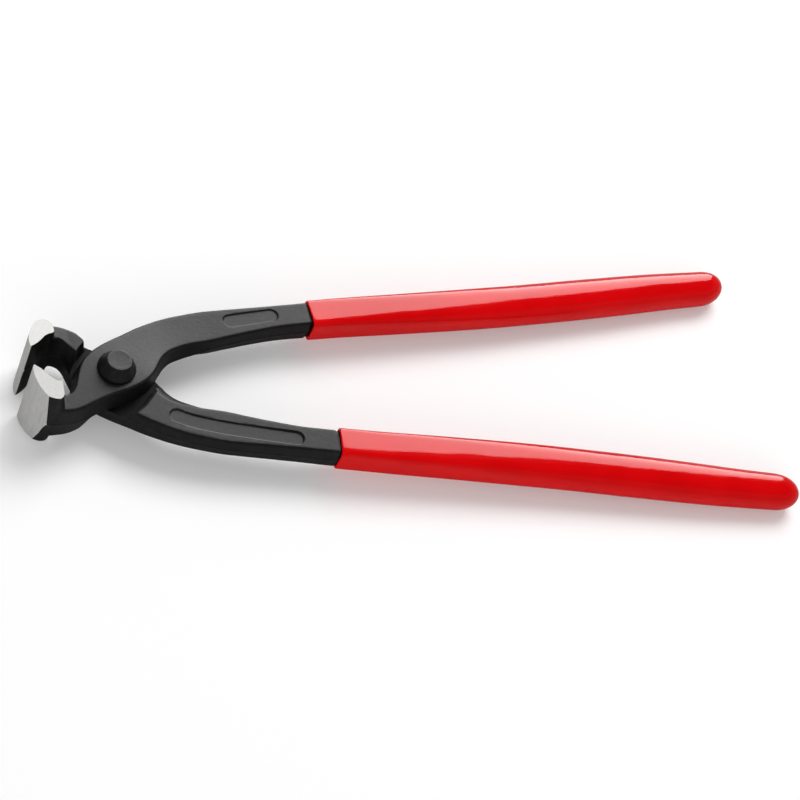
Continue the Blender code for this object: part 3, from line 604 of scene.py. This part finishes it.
def rivet_mesh(finish):
    """Turned rivet: shank, cone head with a rolled rim, slightly dished flat top, both ends."""
    def rounded(corner, before, after, r, count=6):
        """Corner as the curve a (1 - t)^2 + 2 corner t (1 - t) + b t^2, from a to b, which are r
        away from it on its two sides."""
        corner, before, after = (np.asarray(v, float) for v in (corner, before, after))
        a = corner + (before - corner) / np.linalg.norm(before - corner) * r
        b = corner + (after - corner) / np.linalg.norm(after - corner) * r
        t = np.linspace(0, 1, count)[:, None]
        return a * (1 - t) ** 2 + corner * 2 * t * (1 - t) + b * t ** 2

    shank, seat = (SHANK_RADIUS, SEAT_HEIGHT), (RIM_RADIUS, SEAT_HEIGHT)
    rim, top = (RIM_RADIUS, RIM_HEIGHT), (TOP_RADIUS, LIFT)
    half = np.vstack((
        (shank,),
        rounded(seat, shank, rim, SEAT_ROUND),
        rounded(rim, seat, (CONE_RADIUS, LIFT), RIM_ROUND),
        rounded(top, rim, (0.0, LIFT), TOP_ROUND, count=8),
        [(radius, LIFT - depth) for radius, depth in TOP_DISH],
    ))
    profile = np.vstack((half[::-1] * (1, -1), half))
    angle = full_turn(RIVET_POINTS)
    rings = np.stack((profile[:, :1] * np.cos(angle), profile[:, :1] * np.sin(angle),
                      np.repeat(profile[:, 1:], len(angle), 1)), -1)
    return make_mesh("rivet", rings, tube_faces(len(rings), len(angle)), finish)


# Finishes

class Wire:
    """A socket's value in a shader, on which Python's operators add Math nodes."""

    def __init__(self, shader, socket):
        self.shader, self.socket = shader, socket

    def _math(self, operation, *values):
        return self.shader.node("ShaderNodeMath", {"operation": operation},
                                dict(enumerate(values)))["Value"]

    def __add__(self, other):
        return self._math("ADD", self, other)

    def __radd__(self, other):
        return self._math("ADD", other, self)

    def __sub__(self, other):
        return self._math("SUBTRACT", self, other)

    def __rsub__(self, other):
        return self._math("SUBTRACT", other, self)

    def __mul__(self, other):
        return self._math("MULTIPLY", self, other)

    def __rmul__(self, other):
        return self._math("MULTIPLY", other, self)

    def at_most(self, other):
        """The smaller of the two."""
        return self._math("MINIMUM", self, other)

    def ramp(self, low, high):
        """0 at low, 1 at high, eased at both ends."""
        return self.shader.node("ShaderNodeMapRange", {"interpolation_type": "SMOOTHSTEP"},
                                {"Value": self, "From Min": low, "From Max": high})["Result"]


class Shader:
    """A material's or world's node tree."""

    def __init__(self, owner):
        owner.use_nodes = True
        self.tree = owner.node_tree
        self.tree.nodes.clear()

    def feed(self, socket, value):
        """Links a Wire to a socket, or sets the socket to a plain value."""
        if isinstance(value, Wire):
            self.tree.links.new(value.socket, socket)
        else:
            socket.default_value = value

    def node(self, kind, settings=None, values=None):
        """Adds a node, first its settings, then its sockets' values or links; returns its
        outputs by name."""
        made = self.tree.nodes.new(kind)
        for name, value in (settings or {}).items():
            setattr(made, name, value)
        for name, value in (values or {}).items():
            self.feed(made.inputs[name], value)
        return {out.name: Wire(self, out) for out in made.outputs if out.enabled}

    def noise(self, where, scale, detail=2.0, roughness=0.5):
        """Soft noise about 0.5, with scale blotches to the metre."""
        return self.node("ShaderNodeTexNoise", {}, {
            "Vector": where, "Scale": scale, "Detail": detail, "Roughness": roughness})["Fac"]

    def blend(self, share, one, two):
        """Colour between one and two."""
        made = self.tree.nodes.new("ShaderNodeMix")
        made.data_type = "RGBA"
        for socket, value in zip([s for s in made.inputs if s.enabled], (share, one, two)):
            self.feed(socket, value)
        return Wire(self, [s for s in made.outputs if s.enabled][0])

    def stretched(self, where, scale):
        """The place with each direction scaled by itself."""
        return self.node("ShaderNodeMapping", {}, {"Vector": where, "Scale": scale})["Vector"]

    def bump(self, height, distance, strength, under=None):
        """Normal of a relief that rises by distance metres where height is 1, on top of
        another one's."""
        values = {"Height": height, "Distance": distance, "Strength": strength}
        if under is not None:
            values["Normal"] = under
        return self.node("ShaderNodeBump", {}, values)["Normal"]

    def surface(self, values):
        """Ends the tree in a Principled surface with these sockets' values or links."""
        out = self.node("ShaderNodeBsdfPrincipled", {}, values)["BSDF"]
        self.node("ShaderNodeOutputMaterial", {}, {"Surface": out})


def new_finish(name):
    """A material, its shader and the place on the piece that its patterns read."""
    mat = bpy.data.materials.new(name)
    shader = Shader(mat)
    return mat, shader, shader.node("ShaderNodeTexCoord")["Object"]


def colour(r, g, b):
    """Opaque colour."""
    return (r, g, b, 1.0)


def toned(tone, shares):
    """Colour whose channels are shares of one tone."""
    return colour(*(tone * share for share in shares))


def black_oxide(name, tone, roughness):
    """Forged steel under black oxide: sand-blast grain of 0.3 mm, scale pits of 1 to 2 mm,
    clouds of 10 mm in tone and gloss."""
    mat, s, place = new_finish(name)
    grain = s.noise(place, 2600.0, detail=3.0, roughness=0.6)
    pits = s.noise(place, 700.0)
    cloud = s.noise(place, 90.0, detail=3.0, roughness=0.55)
    rubbed = (cloud * 0.6 + pits * 0.4).ramp(0.42, 0.66)
    base = s.blend(rubbed, toned(tone, OXIDE_HOLLOW), toned(tone, OXIDE_RUBBED))
    gloss = roughness + (grain - 0.5) * 0.16 + (cloud - 0.5) * 0.14
    normal = s.bump(grain, 0.00006, 0.9, s.bump(pits, 0.00008, 0.6))
    s.surface({"Base Color": base, "Metallic": 0.0, "Roughness": gloss, "IOR": 1.26,
               "Normal": normal})
    return mat


def ground_steel():
    """Ground bare steel: fine scratches along the jaw's width, with a soft variation in tone."""
    mat, s, place = new_finish("ground_steel")
    scratch = s.noise(s.stretched(place, (5200.0, 5200.0, 260.0)), 1.0, roughness=0.6)
    coarse = s.noise(s.stretched(place, (1500.0, 1500.0, 120.0)), 1.0)
    cloud = s.noise(place, 220.0)
    tone = (scratch * 0.5 + coarse * 0.3 + cloud * 0.2).ramp(0.3, 0.7)
    base = s.blend(tone, colour(0.46, 0.457, 0.447), colour(0.60, 0.596, 0.582))
    rough = 0.72 + (scratch - 0.5) * 0.22 + (cloud - 0.5) * 0.10
    normal = s.bump(scratch, 0.00003, 0.8, s.bump(coarse, 0.00004, 0.6))
    s.surface({"Base Color": base, "Metallic": 0.28, "Roughness": rough, "IOR": 1.26,
               "Normal": normal})
    return mat


def red_vinyl():
    """Dipped soft plastic: glossy, faintly wavy, with a hint of fine orange peel."""
    mat, s, place = new_finish("red_vinyl")
    wave = s.noise(s.stretched(place, (60.0, 130.0, 130.0)), 1.0)
    peel = s.noise(place, 1400.0)
    cloud = s.noise(place, 45.0)
    base = s.blend(cloud.ramp(0.3, 0.7), colour(0.64, 0.0010, 0.0020),
                   colour(0.71, 0.0015, 0.0030))
    rough = 0.10 + (cloud - 0.5) * 0.06 + (peel - 0.5) * 0.05
    normal = s.bump(peel, 0.000012, 0.6, s.bump(wave, 0.0004, 0.35))
    s.surface({"Base Color": base, "Roughness": rough, "IOR": 1.28, "Normal": normal})
    return mat


# The pieces

OXIDE = black_oxide("black_oxide_steel", 0.010, 0.42)
RIVET_OXIDE = black_oxide("rivet_steel", 0.011, 0.34)
# The bed's faces get a far darker tone than the rest of the oxide: painted shade for the recess
# that the other lever overhangs. Their higher roughness also damps their shine.
BED_PAINTED_SHADE_OXIDE = black_oxide("bed_oxide_painted_shade", 0.004, 0.75)
STEEL = ground_steel()
VINYL = red_vinyl()

lever = cut(forging_mesh(OXIDE), [
    front_grind(STEEL),
    side_grind(*PLATE_SIDE_GRIND, 1, STEEL),
    side_grind(*BED_SIDE_GRIND, -1, STEEL),
    # the bed's faces take the darker oxide, whose low tone is painted shade
    bed_cutter(BED_PAINTED_SHADE_OXIDE),
    hole_cutter(OXIDE),
    panel_cutter(*SHORT_PANEL, True, OXIDE),
    panel_cutter(*LONG_PANEL, False, OXIDE),
])
grip = grip_mesh(VINYL)
add_piece("upper_forging", placed(lever, False), "upper", "upper_lever")
add_piece("lower_forging", placed(lever, True), "lower", "lower_lever")
add_piece("upper_sleeve", placed(grip, False), "upper", "upper_grip", sharp=50.0)
add_piece("lower_sleeve", placed(grip, True), "lower", "lower_grip", sharp=50.0)
add_piece("turned_rivet", placed(rivet_mesh(RIVET_OXIDE), False), "upper", "pivot_rivet",
          sharp=40.0)


# Floor, light and camera

def floor():
    """Pale square floor that carries the jaws and the grips' ends, so it tilts a little. It
    glows faintly to the camera, and gloss sees it half mixed with a dim one."""
    near, far = Vector(FLOOR_NEAR), Vector(FLOOR_FAR)
    slope = (far - near).normalized() * FLOOR_HALF
    side = Vector((0, FLOOR_HALF, 0))
    middle = (near + far) / 2
    corners = [middle + slope * a + side * b for a, b in ((-1, -1), (1, -1), (1, 1), (-1, 1))]
    mesh = bpy.data.meshes.new("floor")
    mesh.from_pydata([c[:] for c in corners], [], [(0, 1, 2, 3)])
    mat = bpy.data.materials.new("floor")
    s = Shader(mat)
    path = s.node("ShaderNodeLightPath")
    pale, dim = (s.node("ShaderNodeBsdfDiffuse", {}, {"Color": colour(tone, tone, tone)})["BSDF"]
                 for tone in (FLOOR_TONE, GLOSS_FLOOR_TONE))
    glow = s.node("ShaderNodeEmission", {},
                  {"Strength": path["Is Camera Ray"] * FLOOR_GLOW})["Emission"]
    both = s.node("ShaderNodeAddShader", {}, {0: pale, 1: glow})["Shader"]
    shown = s.node("ShaderNodeMixShader", {},
                   {0: path["Is Glossy Ray"] * GLOSS_FLOOR_SHARE, 1: both, 2: dim})["Shader"]
    s.node("ShaderNodeOutputMaterial", {}, {"Surface": shown})
    mesh.materials.append(mat)
    obj = bpy.data.objects.new("floor", mesh)
    bpy.context.scene.collection.objects.link(obj)


def area_lamp(name, direction, distance, size, radiance, lights=True, shines=True):
    """Rectangular lamp that faces the tool: watts = radiance * pi * area. It lights matt
    surfaces, shines in glossy ones, or both."""
    lamp = bpy.data.lights.new(name, "AREA")
    lamp.shape = "RECTANGLE"
    lamp.size, lamp.size_y = size
    lamp.energy = radiance * math.pi * size[0] * size[1]
    obj = bpy.data.objects.new(name, lamp)
    bpy.context.scene.collection.objects.link(obj)
    toward = Vector(direction).normalized()
    obj.location = Vector(LAMP_TARGET) + toward * distance
    obj.rotation_euler = toward.to_track_quat("Z", "Y").to_euler()
    obj.visible_diffuse, obj.visible_glossy = lights, shines


def surroundings():
    """Dim room that fills the shadows; white to the camera, and in gloss white low down and
    darkest overhead."""
    world = bpy.data.worlds.new("room")
    bpy.context.scene.world = world
    s = Shader(world)
    path = s.node("ShaderNodeLightPath")
    ray = s.node("ShaderNodeTexCoord")["Generated"]
    up = s.node("ShaderNodeSeparateXYZ", {}, {"Vector": ray})["Z"]
    low = 1 - up.ramp(*HORIZON)
    high = up.ramp(*OVERHEAD)
    seen = path["Is Camera Ray"]
    gloss = (path["Is Glossy Ray"] + path["Is Transmission Ray"]).at_most(1)
    gloss_tone = gloss * (low + (1 - low) * (ROOM_GLOSS - high * OVERHEAD_LOSS))
    tone = seen + gloss_tone + (1 - (seen + gloss).at_most(1)) * ROOM_FILL
    back = s.node("ShaderNodeBackground", {}, {"Strength": tone})["Background"]
    s.node("ShaderNodeOutputWorld", {}, {"Surface": back})


def camera():
    """Camera fitted to the photograph. Its own axes point right, up and backwards."""
    data = bpy.data.cameras.new("camera")
    data.lens, data.sensor_width = LENS, SENSOR_WIDTH
    data.clip_start, data.clip_end = CLIP
    obj = bpy.data.objects.new("camera", data)
    bpy.context.scene.collection.objects.link(obj)
    turn = Matrix((CAMERA_RIGHT, CAMERA_DOWN, CAMERA_FORWARD)).transposed()
    axes = turn @ Matrix.Diagonal((1, -1, -1))
    obj.matrix_world = Matrix.Translation(CAMERA_PLACE) @ axes.to_4x4()
    bpy.context.scene.camera = obj


floor()
area_lamp("softbox", (0.342, 0.770, 0.525), distance=2.0, size=(1.60, 1.96), radiance=9.2,
          lights=False)
area_lamp("key", (0.32, 0.46, 0.83), distance=1.9, size=(1.2, 1.1), radiance=6.4,
          shines=False)
area_lamp("front_fill", (-0.45, -0.75, 0.36), distance=1.8, size=(3.0, 1.2), radiance=1.3,
          shines=False)
surroundings()
camera()
bpy.context.scene.view_settings.view_transform = "Standard"
